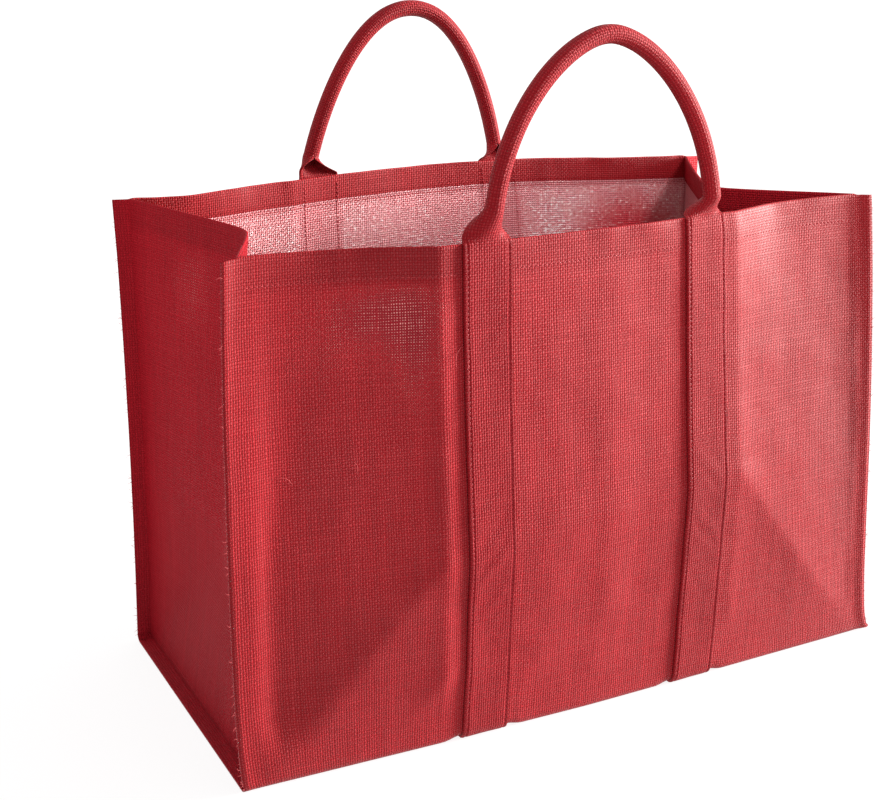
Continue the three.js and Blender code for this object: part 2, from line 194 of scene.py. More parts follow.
def soft_least(a, b, reach):
    """The lesser of two heights, with the fold between them rounded over about reach."""
    return 0.5 * (a + b - np.sqrt((a - b) ** 2 + reach**2))


def unevenness(shape, spacing, size):
    """Gentle lumps of about that size in millimetres, seldom more than 2 high."""
    lumps = rng.standard_normal(shape)
    for axis in (0, 1):
        lumps = blur(lumps, size / spacing, axis)
    return lumps / lumps.std()


def unit(vectors):
    return vectors / np.linalg.norm(vectors, axis=-1, keepdims=True)


def hill(value, middle, reach):
    """A soft hill of height 1 around one value."""
    return np.exp(-(((value - middle) / reach) ** 2))


def distance_along(points):
    """How far each point of a line lies from its first one, along the line."""
    steps = np.linalg.norm(np.diff(points, axis=0), axis=-1)
    return np.concatenate([[0], np.cumsum(steps)])


def points_at(places, along, points):
    """Points of a line at other places along it."""
    return np.stack([np.interp(places, along, points[:, i]) for i in range(3)], axis=-1)


def outward_normals(points, outside):
    """Normals of a grid of points. outside gives a row, a column and which way is out there."""
    down = np.gradient(points, axis=0)
    across = np.gradient(points, axis=1)
    normals = unit(np.cross(down, across))
    row, column, direction = outside
    if normals[row, column] @ np.array(direction) < 0:
        normals = -normals
    return normals


# The surface of the body cloth: down the front, under the base, up the back


def read_lines(lines, across):
    """The rim and base lines at fine steps: crisp at the old upright folds, soft in between."""
    fine = np.arange(across[0], across[-1] + 1)
    crisp = hill(np.abs(fine), FACE_FOLD, 16) + hill(np.abs(fine), HALF_WIDTH, 12)
    read = {}
    for name in ("base", "rim", "rim_height", "rise"):
        straight = np.interp(fine, lines["across"], lines[name])
        soft = blur(straight, 13)
        folded = blur(straight, 2.5)
        read[name] = np.interp(across, fine, soft + (folded - soft) * crisp)
    return read


def outwards(across):
    return np.maximum(0, (np.abs(across) - FACE_FOLD) / (HALF_WIDTH - FACE_FOLD))


def belly_at(across, height, belly):
    meet = np.interp(across, (-FACE_FOLD, FACE_FOLD), FACE_MEET)
    above = np.clip(height, meet, RIM_HEIGHT)
    fade = ((RIM_HEIGHT - above) / (RIM_HEIGHT - meet)) ** BELLY_FADE
    side = belly * fade * np.clip(1 - outwards(across), 0, None)
    return np.maximum(0, soft_least(belly * height / meet, side, 0.5))


def lean_at(across, height, left, right):
    fine = np.arange(0, RIM_HEIGHT + 1)

    def shift(name):
        soft = blur(np.interp(fine, SEAM_LEAN["height"], SEAM_LEAN[name]), 10)
        return np.interp(height, fine, soft)

    return np.minimum(1, outwards(across)) * np.where(across < 0, shift(left), shift(right))


def strap_centre(which, side, height):
    share = np.clip(height / RIM_HEIGHT, 0, 1)
    return STRAP_CENTRES[which] + STRAP_LEAN[side][which] * share**2


def lift_at(across):
    near = np.min([np.abs(across - centre) for centre in STRAP_CENTRES], axis=0)
    return STRAP_STACK * (1 - smoothstep(near, HALF_STRAP + 0.5, HALF_STRAP + 16))


def face_points(across, heights, side):
    lines, belly, seams = (
        (FRONT_LINES, FRONT_BELLY, ("front_left", "front_right"))
        if side < 0
        else (BACK_LINES, BACK_BELLY, ("back_left", "back_right"))
    )
    read = read_lines(lines, across)
    height, place = np.meshgrid(heights, across, indexing="ij")
    rise = (height / RIM_HEIGHT) ** read["rise"]
    y = read["base"] + (read["rim"] - read["base"]) * rise + side * belly_at(place, height, belly)
    floor = lift_at(across) + BASE_FOLD
    z = floor + (read["rim_height"] - floor) * (height - BASE_FOLD) / (RIM_HEIGHT - BASE_FOLD)
    return np.stack([place + lean_at(place, height, *seams), y, z], axis=-1)


def fold_points(across, degrees, side):
    seams = ("front_left", "front_right") if side < 0 else ("back_left", "back_right")
    line = read_lines(FRONT_LINES if side < 0 else BACK_LINES, across)["base"]
    angle, place = np.meshgrid(np.radians(degrees), across, indexing="ij")
    x = place + lean_at(place, 0 * place, *seams)
    y = line - side * BASE_FOLD * (1 - np.sin(angle))
    z = lift_at(across) + BASE_FOLD * (1 - np.cos(angle))
    return np.stack([x, y, z], axis=-1)


across = np.linspace(-HALF_WIDTH - LIP, HALF_WIDTH + LIP, round(2 * (HALF_WIDTH + LIP) / GRID) + 1)
LEFT_SEAM = int(np.argmin(np.abs(across + HALF_WIDTH)))
RIGHT_SEAM = int(np.argmin(np.abs(across - HALF_WIDTH)))
face_heights = np.linspace(RIM_HEIGHT, BASE_FOLD, round((RIM_HEIGHT - BASE_FOLD) / GRID) + 1)
fold_angles = np.array([72, 54, 36, 18, 0])
base_shares = np.linspace(0, 1, round(280 / GRID) + 1)[1:-1]
FACE_ROWS = len(face_heights)
FOLD_ROWS = len(fold_angles)
BASE_START = FACE_ROWS + FOLD_ROWS - 1


def body_surface():
    front_fold = fold_points(across, fold_angles, -1)
    back_fold = fold_points(across, fold_angles, 1)
    base = front_fold[-1] + (back_fold[-1] - front_fold[-1]) * base_shares[:, None, None]
    return np.concatenate(
        [
            face_points(across, face_heights, -1),
            front_fold,
            base,
            back_fold[::-1],
            face_points(across, face_heights, 1)[::-1],
        ]
    )


# Creases pressed in: from one place to another on a face (millimetres across and up),
# how wide they are, how sharp (1 is a soft swell, 0 a crisp fold), and how far the cloth stands
# out (+) or in (-) there
CREASE_COLUMNS = "from_across from_height to_across to_height width softness depth"
FRONT_CREASES = table(
    CREASE_COLUMNS,
    (-139, 420, -140, -20, 15, 0, 2.2),
    (139, 420, 140, 60, 13, 0, 1.6),
    (-262, 440, -284, 300, 26, 1, -1.8),
    (-282, 20, -141, 166, 12, 0, 0.9),
    (-140, 66, -186, 12, 16, 0, 1.8),
    (288, 22, 141, 192, 18, 0, 1.4),
    (-222, 330, -214, 220, 30, 1, 0.8),
    (205, 390, 212, 230, 38, 1, -1.0),
    (-40, 330, -52, 60, 22, 1, 0.8),
    (45, 370, 40, 40, 20, 1, -0.7),
    (5, 300, 12, 100, 14, 1, 0.6),
)
BACK_CREASES = table(
    CREASE_COLUMNS,
    (-139, 425, -140, 20, 10, 0, -2.0),
    (139, 425, 140, 20, 10, 0, -1.6),
    (-292, 14, -150, 156, 20, 0, 1.0),
    (292, 20, 150, 184, 22, 0, 1.2),
    (-20, 350, -30, 80, 26, 1, 1.2),
    (230, 330, 240, 90, 30, 1, -1.4),
    (-225, 330, -240, 100, 30, 1, 1.4),
)


def creased(places, heights, creases):
    """How far hand-placed creases move the cloth, at each place across and up a face."""
    height, place = np.meshgrid(heights, places, indexing="ij")
    moved = np.zeros(height.shape)
    for row in zip(*creases.values()):
        x0, z0, x1, z1, width, softness, depth = row
        length = (x1 - x0) ** 2 + (z1 - z0) ** 2
        share = np.clip(((place - x0) * (x1 - x0) + (height - z0) * (z1 - z0)) / length, 0, 1)
        away = np.hypot(place - x0 - share * (x1 - x0), height - z0 - share * (z1 - z0))
        swell, fold = hill(away, 0, width), np.exp(-away / width)
        moved += depth * (fold + (swell - fold) * softness)
    return moved


def sunken_corner(places, heights, side, meet, depth, deepest):
    """How the cloth sinks between an upright fold, the seam and the slanting fold below it."""
    height, place = np.meshgrid(heights, places, indexing="ij")
    from_seam = HALF_WIDTH - side * place
    reach = np.interp(height, (8, meet), (deepest + 4, HALF_WIDTH - FACE_FOLD))
    ramp = (reach - from_seam) / (reach - deepest)
    share = np.clip(soft_least(ramp, 1.0, 0.06), 0, None)
    # Rounded where the slope leaves the flat cloth, over a share of 0.04
    share = 0.5 * (share + np.sqrt(share**2 + 0.04**2) - 0.04)
    kept = smoothstep(height, 4, 50) * (1 - 0.75 * smoothstep(height, 330, RIM_HEIGHT))
    return -depth * share * smoothstep(from_seam, 0, deepest + 2) * kept


surface = body_surface()
MIDDLE_ROW = len(surface) // 2
MIDDLE_COLUMN = len(across) // 2
UNDERSIDE = (MIDDLE_ROW, MIDDLE_COLUMN, (0, 0, -1))
normals = outward_normals(surface, UNDERSIDE)
# The base and the foot of each face stay where they rest, and the seams where they are sewn
free = np.zeros(len(surface))
free[:FACE_ROWS] = smoothstep(face_heights, 10, 70)
free[-FACE_ROWS:] = free[:FACE_ROWS][::-1]
moved = 0.55 * unevenness(surface.shape[:2], GRID, 26)
moved += 0.22 * unevenness(surface.shape[:2], GRID, 9)
moved[:FACE_ROWS] += creased(across, face_heights, FRONT_CREASES)
moved[:FACE_ROWS] += sunken_corner(across, face_heights, -1, FACE_MEET[0], 8, 22)
moved[:FACE_ROWS] += sunken_corner(across, face_heights, 1, FACE_MEET[1], 2, 8)
moved[-FACE_ROWS:] += creased(across, face_heights, BACK_CREASES)[::-1]
# High on the left the cloth leaves its seam in a long soft slope, lower down in a short one
slope = 20 + 50 * smoothstep(surface[:, MIDDLE_COLUMN, 2], 150, 380)
slope[FACE_ROWS:] = 0
slope = np.where(across[None, :] < 0, slope[:, None], 0)
sewn = smoothstep(HALF_WIDTH - np.abs(across), -2, np.maximum(slope, 12))
surface = surface + normals * (moved * free[:, None] * sewn)[:, :, None]
normals = outward_normals(surface, UNDERSIDE)

# Distance along the cloth from the front rim, which the weave follows
path = distance_along(surface[:, MIDDLE_COLUMN])


# Meshes


def put_in_scene(name, data):
    thing = bpy.data.objects.new(name, data)
    bpy.context.scene.collection.objects.link(thing)
    return thing


def make_piece(name, points, faces, places, materials, face_materials=None, sheer_and_shade=None):
    """A mesh from points in millimetres. places gives the cloth coordinates of each face corner."""
    mesh = bpy.data.meshes.new(name)
    mesh.from_pydata([tuple(point) for point in points * MM], [], faces)
    layer = mesh.uv_layers.new(name="cloth")
    layer.data.foreach_set("uv", (np.concatenate(places) * MM).astype(np.float32).ravel())
    for material in materials:
        mesh.materials.append(material)
    if face_materials is not None:
        mesh.polygons.foreach_set("material_index", np.asarray(face_materials, np.int32))
    mesh.polygons.foreach_set("use_smooth", np.ones(len(faces), bool))
    if sheer_and_shade is not None:
        layer = mesh.attributes.new("sheer_and_shade", "FLOAT", "POINT")
        layer.data.foreach_set("value", sheer_and_shade.astype(np.float32))
    mesh.validate()
    mesh.update()
    return put_in_scene(name, mesh)


def cloth_sheet(name, outer, thickness, uv, materials, coated, sheer_and_shade, rounded=(True, True)):
    """A closed sheet of cloth: its outer face, its inner face and its edges.

    rounded says whether the first and the last row are a fold of turned cloth or a raw edge.
    coated says, for each row and column, whether the inner face shows the coating."""
    rows, columns = outer.shape[:2]
    face_normals = outward_normals(outer, SHEET_SIDE[name])
    inner = outer - face_normals * thickness[:, :, None]

    def turned_edge(row, beyond):
        middle = (outer[row] + inner[row]) / 2
        half = (outer[row] - inner[row]) / 2
        ahead = unit(outer[row] - outer[beyond]) * np.linalg.norm(half, axis=-1, keepdims=True)
        turns = np.radians([30, 60, 90, 120, 150])
        return [middle + half * math.cos(turn) + ahead * math.sin(turn) for turn in turns]

    start = turned_edge(0, 1)[::-1] if rounded[0] else []
    end = turned_edge(-1, -2) if rounded[1] else []
    loop = np.stack([*outer, *end, *inner[::-1], *start])
    loop_uv = np.stack([*uv, *[uv[-1]] * len(end), *uv[::-1], *[uv[0]] * len(start)])
    count = len(loop)
    faces, places, kinds = [], [], []
    inner_start, inner_end = rows + len(end), rows + len(end) + rows - 1

    def add_face(corners, kind=0):
        faces.append([row * columns + column for row, column in corners])
        places.append([loop_uv[corner] for corner in corners])
        kinds.append(kind)

    for r in range(count):
        after = (r + 1) % count
        for c in range(columns - 1):
            shows_coating = inner_start <= r < inner_end and coated[inner_end - r - 1, c]
            add_face([(r, c), (after, c), (after, c + 1), (r, c + 1)], int(shows_coating))
    for c, order in ((0, -1), (columns - 1, 1)):
        for r in range(rows - 1):
            opposite = inner_end - r
            add_face([(r, c), (r + 1, c), (opposite - 1, c), (opposite, c)][::order])
        for first, last in ((rows - 1, inner_start), (inner_end, count)):
            corners = [(row % count, c) for row in range(first, last + 1)]
            if len(corners) > 2:
                add_face(corners[::order])
    none = np.zeros(columns)
    loop_sheer_and_shade = np.stack([*sheer_and_shade, *[none] * len(end), *sheer_and_shade[::-1], *[none] * len(start)])
    points = loop.reshape(-1, 3)
    return make_piece(name, points, faces, places, materials, kinds, loop_sheer_and_shade.ravel())


# For each sheet a row, a column and which way is out there
SHEET_SIDE = {
    "body_jute_sheet": UNDERSIDE,
    "left_end_jute_sheet": (20, 10, (-1, 0, 0)),
    "right_end_jute_sheet": (20, 10, (1, 0, 0)),
}


# Materials


def colour(hex_value):
    """An sRGB hex value as a linear colour."""
    parts = [int(hex_value[i : i + 2], 16) / 255 for i in (1, 3, 5)]
    return (*(p / 12.92 if p <= 0.04045 else ((p + 0.055) / 1.055) ** 2.4 for p in parts), 1)


def add_node(material, kind, inputs=(), output=0, **settings):
    """Adds a shader node. inputs are links or constants, in order or by socket."""
    node = material.node_tree.nodes.new("ShaderNode" + kind)
    for name, value in settings.items():
        setattr(node, name, value)
    for socket, value in inputs.items() if isinstance(inputs, dict) else enumerate(inputs):
        if isinstance(value, bpy.types.NodeSocket):
            material.node_tree.links.new(value, node.inputs[socket])
        else:
            node.inputs[socket].default_value = value
    return node.outputs[output] if node.outputs else node


def empty_material(name):
    material = bpy.data.materials.new(name)
    material.use_nodes = True
    material.node_tree.nodes.clear()
    return material


# Distance between two yarns of the jute, about 2.3 pixels in the photo: drawn as it really is
YARN_PITCH = 2.1
# How far the hairs of the yarns stand out, beside the round yarn itself
HAIRINESS = 0.35
# The upright yarns, then the cross yarns: the direction they count in, and how finely they wander
# and thicken, in places a metre
YARNS = ((0, (230, 26, 1), (4, 60, 1)), (1, (26, 230, 1), (60, 4, 1)))


def woven_jute(
    name,
    gap_shade,
    yarn,
    bead_highlight,
    film_and_backlight,
    roughness,
    gloss,
    weft_share,
    clumps,
    fuzz=0,
    pressed=0,
    lit_through=None,
):
    """Plain weave of hand-spun yarns that are round, fuzzy and uneven, with small gaps.

    The first three colours are its dye, from the depth of the weave to the tops of the yarns, with
    painted shade in the gaps and a painted highlight on the tops.
    Between the yarns shows the pale film, whose colour is also painted light coming through, and
    lit_through is the darker dye painted where light comes from behind.
    pressed is how smoothly the yarns are rubbed, weft_share how high the cross yarns stand beside
    the upright ones, and clumps how unevenly the yarns bunch, so that the gaps look like dots."""
    material = empty_material(name)
    cloth = add_node(material, "UVMap", uv_map="cloth")
    place = add_node(material, "SeparateXYZ", (cloth,)).node.outputs
    noises = {}
    for kind, places, detail in (
        ("hairs", (1800, 900, 1), 3.0),
        ("patches", (11, 7, 1), 3.0),
        ("knots", (250, 490, 1), 1.0),
        ("streaks", (160, 9, 1), 3.0),
    ):
        at = add_node(material, "VectorMath", (cloth, places), operation="MULTIPLY")
        inputs = {"Vector": at, "Scale": 1.0, "Detail": detail}
        noises[kind] = add_node(material, "TexNoise", inputs)

    waves, rounds, shades = [], [], []
    for along, wandering, thickening in YARNS:
        at = add_node(material, "VectorMath", (cloth, wandering), operation="MULTIPLY")
        at = add_node(material, "TexNoise", {"Vector": at, "Scale": 1.0, "Detail": 2.0})
        count = (place[along], 1 / (YARN_PITCH * MM), at)
        count = add_node(material, "Math", count, operation="MULTIPLY_ADD")
        wave = add_node(material, "Math", (count, math.pi), operation="MULTIPLY")
        wave = add_node(material, "Math", (wave,), operation="COSINE")
        waves.append(wave)
        rounds.append(add_node(material, "Math", (wave,), operation="ABSOLUTE"))
        number = add_node(material, "Math", (count,), operation="ROUND")
        own = add_node(material, "TexWhiteNoise", {"W": number}, noise_dimensions="1D")
        at = add_node(material, "VectorMath", (cloth, thickening), operation="MULTIPLY")
        inputs = {"Vector": at, "W": number, "Scale": 1.0, "Detail": 1.0}
        slubs = add_node(material, "TexNoise", inputs, noise_dimensions="4D")
        both = add_node(material, "Math", (own, slubs), operation="ADD")
        shades.append(add_node(material, "Math", (both, 0.5), operation="MULTIPLY"))

    # Over and under: where both waves have one sign, the upright yarn lies on top
    over = add_node(material, "Math", waves, operation="MULTIPLY")
    top = add_node(material, "Math", (over, 0.5, 0.5), operation="MULTIPLY_ADD")
    warp = add_node(material, "Math", (rounds[0], top), operation="MULTIPLY")
    trough = (over, -0.5 * weft_share, 0.5 * weft_share)
    trough = add_node(material, "Math", trough, operation="MULTIPLY_ADD")
    weft = add_node(material, "Math", (rounds[1], trough), operation="MULTIPLY")
    relief = add_node(material, "Math", (warp, weft), operation="MAXIMUM")
    on_top = add_node(material, "Math", (warp, weft), operation="GREATER_THAN")
    shade = add_node(material, "Mix", {0: on_top, 2: shades[1], 3: shades[0]})

    # Painted shade between the yarns, full dye on them and a painted highlight on their tops, so
    # that each looks round
    level = add_node(material, "Math", (shade, 0.26, relief), operation="MULTIPLY_ADD")
    level = (noises["hairs"], HAIRINESS, level)
    level = add_node(material, "Math", level, operation="MULTIPLY_ADD")
    dyed = colour(gap_shade)
    for start, full, dye in ((0.4, 0.85, yarn), (0.85, 1.3, bead_highlight)):
        share = (level, start, full)
        share = add_node(material, "MapRange", share, interpolation_type="SMOOTHSTEP")
        dyed = {0: share, 6: dyed, 7: colour(dye)}
        dyed = add_node(material, "Mix", dyed, 2, data_type="RGBA")
    # With the light behind them the yarns look dark and dull, and the gaps between them white.
    # lit_from is how sheer the cloth must be for that. closing then draws the gaps in, so that they
    # stay separate dots
    sheer_and_shade = add_node(material, "Attribute", {}, 2, attribute_name="sheer_and_shade")
    if lit_through:
        lit_from, closing = (0.5, 0.03) if pressed else (0.9, 0.4)
        behind = (sheer_and_shade, lit_from, lit_from + 0.5)
        behind = add_node(material, "MapRange", behind, interpolation_type="SMOOTHSTEP")
        dyed = {0: behind, 6: dyed, 7: colour(lit_through)}
        dyed = add_node(material, "Mix", dyed, 2, data_type="RGBA")
        gloss = add_node(material, "MapRange", (behind, 0.0, 1.0, gloss, 0.25 * gloss))

    # The tops of the yarns are rubbed smooth and shine softly, the gaps stay dull
    rubbed = add_node(material, "MapRange", (level, 0.5, 1.1, 0.15, 1.0))
    rubbed = add_node(material, "Math", (rubbed, pressed), operation="MULTIPLY")

    # Where the yarns lie far apart, the pale film on the inner face shows between them, and its
    # colour is also painted light coming through these gaps. The yarns' own thickness, broad
    # patches and small knots decide where the gaps are wide
    widest = add_node(material, "Math", rounds, operation="MAXIMUM")
    for part, amount in ((shade, 0.6), (noises["patches"], 0.7), (noises["knots"], clumps)):
        widest = (part, amount, widest)
        widest = add_node(material, "Math", widest, operation="MULTIPLY_ADD")
    edge = add_node(material, "Math", (sheer_and_shade, 1.0), operation="MINIMUM")
    edge = (edge, 0.85, 0.485 + 0.5 * clumps)
    edge = add_node(material, "Math", edge, operation="MULTIPLY_ADD")
    if lit_through:
        edge = (behind, -closing, edge)
        edge = add_node(material, "Math", edge, operation="MULTIPLY_ADD")
    seen = add_node(material, "Math", (edge, widest), operation="SUBTRACT")
    seen = add_node(material, "MapRange", (seen, 0.0, 0.16))
    dyed = {0: seen, 6: dyed, 7: colour(film_and_backlight)}
    dyed = add_node(material, "Mix", dyed, 2, data_type="RGBA")

    # The dye took unevenly: broad soft patches and fine upright streaks. Single cloth is painted
    # paler than a hem, for the light that comes through it, and the places listed with negative
    # amounts get painted shade
    tone_with_painted_light = 0.72
    for part, amount in ((noises["patches"], 0.24), (noises["streaks"], 0.32), (sheer_and_shade, 0.16)):
        tone_with_painted_light = (part, amount, tone_with_painted_light)
        tone_with_painted_light = add_node(material, "Math", tone_with_painted_light, operation="MULTIPLY_ADD")
    dyed = add_node(material, "HueSaturation", {"Value": tone_with_painted_light, "Color": dyed})

    height = (noises["hairs"], HAIRINESS, relief)
    height = add_node(material, "Math", height, operation="MULTIPLY_ADD")
    bumps = {"Strength": 1.0, "Distance": 0.0012, "Height": height}
    # The most open single cloth is cut through between its yarns, so that the light behind shows
    cut = (sheer_and_shade, 1.3, 0.5 * clumps - (0.68 if pressed else 1.0))
    cut = add_node(material, "Math", cut, operation="MULTIPLY_ADD")
    looks = {
        "Base Color": dyed,
        "Roughness": roughness,
        "Specular IOR Level": gloss,
        "Sheen Weight": fuzz,
        "Sheen Roughness": 0.35,
        "Coat Weight": rubbed,
        "Coat Roughness": 0.52,
        "Coat IOR": 1.36,
        "Alpha": add_node(material, "Math", (widest, cut), operation="GREATER_THAN"),
        "Normal": add_node(material, "Bump", bumps),
    }
    shader = add_node(material, "BsdfPrincipled", looks)
    add_node(material, "OutputMaterial", {"Surface": shader})
    return material


# Plain-woven jute, dyed in the piece: matt, coarse and uneven, with fuzzy round yarns
body_jute = woven_jute(
    "plain_woven_dyed_jute_body",
    gap_shade="#920b15",
    yarn="#a4101b",
    bead_highlight="#b02a31",
    film_and_backlight="#e0948f",
    roughness=0.55,
    gloss=0.08,
    fuzz=0.06,
    pressed=0.8,
    weft_share=0.74,
    clumps=0.7,
    lit_through="#8c0e1c",
)
# The end panels are the same jute, given a lighter dye than the body's: painted fill light for ends
# that stand in shade
end_jute_painted_lighter = woven_jute(
    "plain_woven_dyed_jute_ends_painted_lighter",
    gap_shade="#9c0e1c",
    yarn="#b21222",
    bead_highlight="#bc202c",
    film_and_backlight="#cc6868",
    roughness=0.6,
    gloss=0.1,
    weft_share=0.8,
    clumps=0.6,
)
strap_jute = woven_jute(
    "plain_woven_dyed_jute_straps",
    gap_shade="#880b15",
    yarn="#980e19",
    bead_highlight="#a8282e",
    film_and_backlight="#980e19",
    roughness=0.55,
    gloss=0.08,
    fuzz=0.06,
    pressed=0.35,
    weft_share=0.74,
    clumps=0.6,
)
# The same jute with a clear film laminated on its inner face: paler, smoother and glossy
coated_jute = woven_jute(
    "film_laminated_jute_inside",
    gap_shade="#b03a44",
    yarn="#d4666e",
    bead_highlight="#e8a8aa",
    film_and_backlight="#fdeaea",
    roughness=0.36,
    gloss=0.5,
    weft_share=1.3,
    clumps=1.9,
    lit_through="#b81c2a",
)


# The body and the end panels


def sheet_uv(columns_mm, rows_mm):
    u, v = np.meshgrid(columns_mm, rows_mm)
    return np.stack([u, v], axis=-1)


body_depth = np.minimum(path, path[-1] - path)
hem = 1 - smoothstep(body_depth, HEM_DEPTH - 1, HEM_DEPTH + 1)
inside_seams = (np.abs(across) < HALF_WIDTH - 3).astype(float)
body_thickness = SHOWN_CLOTH + HEM_EXTRA * hem[:, None] * inside_seams[None, :]
between_seams = np.abs(across[None, :-1] + GRID / 2) < HALF_WIDTH
body_coated = (body_depth[:-1, None] > HEM_DEPTH) & between_seams
# How much less sheer the cloth is where it is doubled or sewn down, which paints it darker, as less
# light comes through
CLOSED = 0.35
# Where single cloth lets light through, as soft patches listed one by one. Above 0 this is
# painted light coming through, below 0 painted shade
SHEER_AND_SHADE_PATCHES = table(
    "side across height reach_across reach_up amount",
    (-1, -182, 364, 50, 30, 0.6),
    (-1, -158, 322, 24, 50, 0.58),
    (-1, -226, 345, 48, 44, 0.36),
    # Painted shade: the foot of the front at its left, much of its right third, a band by its right
    # seam
    (-1, -235, 90, 80, 130, -0.9),
    (-1, 225, 300, 70, 220, -0.4),
    (-1, 292, 190, 26, 150, -1.2),
    # The back, painted as lit from behind, which shows on its inner face
    (1, -190, 330, 120, 110, 0.95),
    (1, 0, 330, 110, 110, 0.75),
    (1, 235, 330, 125, 120, 1.25),
)
body_height, body_across = np.meshgrid(surface[:, MIDDLE_COLUMN, 2], across, indexing="ij")
body_side = np.sign(surface[:, MIDDLE_COLUMN, 1])[:, None]
body_sheer_and_shade = np.full(body_height.shape, 0.08)
for side, x, z, reach_x, reach_z, amount in zip(*SHEER_AND_SHADE_PATCHES.values()):
    near = hill(body_across, x, reach_x) * hill(body_height, z, reach_z)
    body_sheer_and_shade += amount * near * (body_side == side)
single = smoothstep(body_depth, HEM_DEPTH, HEM_DEPTH + 3)[:, None] * inside_seams[None, :]
# Under a strap less light comes through, and the cloth is painted darker there: fully on the front,
# and partly on the back, which paints the straps' shadow on the inner face
for which in (0, 1):
    for side in (-1, 1):
        from_strap = np.abs(body_across - strap_centre(which, side, body_height))
        outside_strap_shadow = smoothstep(from_strap, HALF_STRAP, HALF_STRAP + 4)
        outside_strap_shadow = outside_strap_shadow if side < 0 else 0.6 + 0.4 * outside_strap_shadow
        single = np.where(body_side == side, single * outside_strap_shadow, single)
# A hem is double cloth and lets less light through, so it is painted darker; painted shade darkens
# it most on the front between the left seam and the left strap
shaded_left_hem = smoothstep(across, -262, -225) * smoothstep(-across, 122, 126)
hem_painted_shade = 0.15 + 0.55 * shaded_left_hem[None, :] * (body_side < 0)
body_sheer_and_shade = body_sheer_and_shade * single - CLOSED * (1 - single) - hem[:, None] * hem_painted_shade * inside_seams
body_piece = cloth_sheet(
    "body_jute_sheet",
    surface,
    body_thickness,
    sheet_uv(across, path),
    [body_jute, coated_jute],
    body_coated,
    body_sheer_and_shade,
)
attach(body_piece, "root")
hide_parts("body_cloth")


# Half the width of an end panel between its seams, as its weave counts it
HALF_DEPTH = 140


def end_panel(name, side, seam, tip, deep_column):
    """An end panel hangs between the two upright seams, its lips inside the body's."""
    inset = CLOTH + PIECE_GAP
    shifted = surface - normals * inset
    root, edge = shifted[:, seam], shifted[:, tip]
    rows = FACE_ROWS + FOLD_ROWS - 1
    last = len(surface) - 1
    foot_rows = last - 2 * BASE_START
    heights = np.concatenate([face_heights, np.zeros(FOLD_ROWS - 1)])
    fine = np.arange(RIM_HEIGHT + 1)
    deep_fine = blur(np.interp(fine, CREASE_DEPTH["height"], CREASE_DEPTH[deep_column]), 8)
    # One more column close to each seam, where the hem's double cloth begins
    close = 0.35
    base_rows = [0, close, *range(1, foot_rows), foot_rows - close, foot_rows]
    base_rows = np.array(base_rows, float)
    along = base_rows / base_rows[-1] * 2 - 1
    eta, height = np.meshgrid(along, heights)
    # The crease of the middle is rounder near the rim, where the hem is stiff
    round_off = 0.03 + 0.1 * smoothstep(height, 340, RIM_HEIGHT - 12)
    middle = 1 - (np.hypot(eta, round_off) - round_off) / (np.hypot(1, round_off) - round_off)
    deep = np.interp(height, fine, deep_fine)
    low = deep_fine[END_MEET] * height / END_MEET
    depth = np.maximum(0, soft_least(low, deep * np.clip(middle, 0, 1), 1.2))
    front = root[:rows][:, None]
    back = root[::-1][:rows][:, None]
    panel = front + (back - front) * ((eta + 1) / 2)[:, :, None]
    panel[:, :, 0] -= side * depth
    panel[:, :, 2] -= CREASE_DROP * np.clip(middle, 0, 1) * (height / RIM_HEIGHT) ** 2
    lumps = 0.8 * unevenness(panel.shape[:2], GRID, 24)
    lumps += 0.25 * unevenness(panel.shape[:2], GRID, 9)
    # The seams, the foot and the stiff hem keep the cloth smooth
    sewn = smoothstep(1 - np.abs(eta), 0, 0.2) * smoothstep(height, 5, 60)
    sewn = sewn * (1 - 0.9 * smoothstep(height, 350, 385))
    panel[:, :, 0] += side * lumps * sewn
    upper = np.concatenate([edge[:rows][:, None], panel, edge[::-1][:rows][:, None]], axis=1)
    # Under the base: a row along the seam, and a row along the edge of the lip
    foot, toe = (
        np.concatenate(
            [
                edge[[BASE_START]],
                points_at(base_rows + BASE_START, np.arange(last + 1), line),
                edge[[last - BASE_START]],
            ]
        )
        for line in (root, edge)
    )
    grid = np.concatenate([upper, foot[None], toe[None]])
    # Lips in the middle of their width, so that they bend softly where they are sewn
    depth_mm = np.concatenate([path[:rows], [path[rows], path[rows] + LIP]])
    width = HALF_DEPTH * along
    columns_mm = np.concatenate([[width[0] - LIP], width, [width[-1] + LIP]])
    hem = 1 - smoothstep(depth_mm, HEM_DEPTH - 1, HEM_DEPTH + 1)
    within = np.concatenate([[0, 0], np.ones(len(along) - 2), [0, 0]])
    thickness = SHOWN_CLOTH + HEM_EXTRA * hem[:, None] * within[None, :]
    between_seams = np.abs(columns_mm[:-1] + columns_mm[1:]) / 2 < width[-1]
    coated = (depth_mm[:-1, None] > HEM_DEPTH) & between_seams[None, :]
    single = smoothstep(depth_mm, HEM_DEPTH, HEM_DEPTH + 3)[:, None] * within[None, :]
    # Pale dots of painted light coming through below the hem, on both sides of the crease, the hem
    # painted darker, and painted shade darker towards the foot
    light_through_open_weave = hill(depth_mm, 62, 46)[:, None] * hill(np.abs(columns_mm), 58, 34)[None]
    sheer_and_shade = (0.05 + 0.7 * light_through_open_weave) * single - CLOSED * (1 - single)
    sheer_and_shade = sheer_and_shade - 0.4 * hem[:, None] * within - 1.3 * smoothstep(depth_mm, 230, 400)[:, None]
    piece = cloth_sheet(
        name,
        grid,
        thickness,
        sheet_uv(columns_mm, depth_mm),
        [end_jute_painted_lighter, coated_jute],
        coated,
        sheer_and_shade,
        (True, False),
    )
    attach(piece, "root")
    return piece


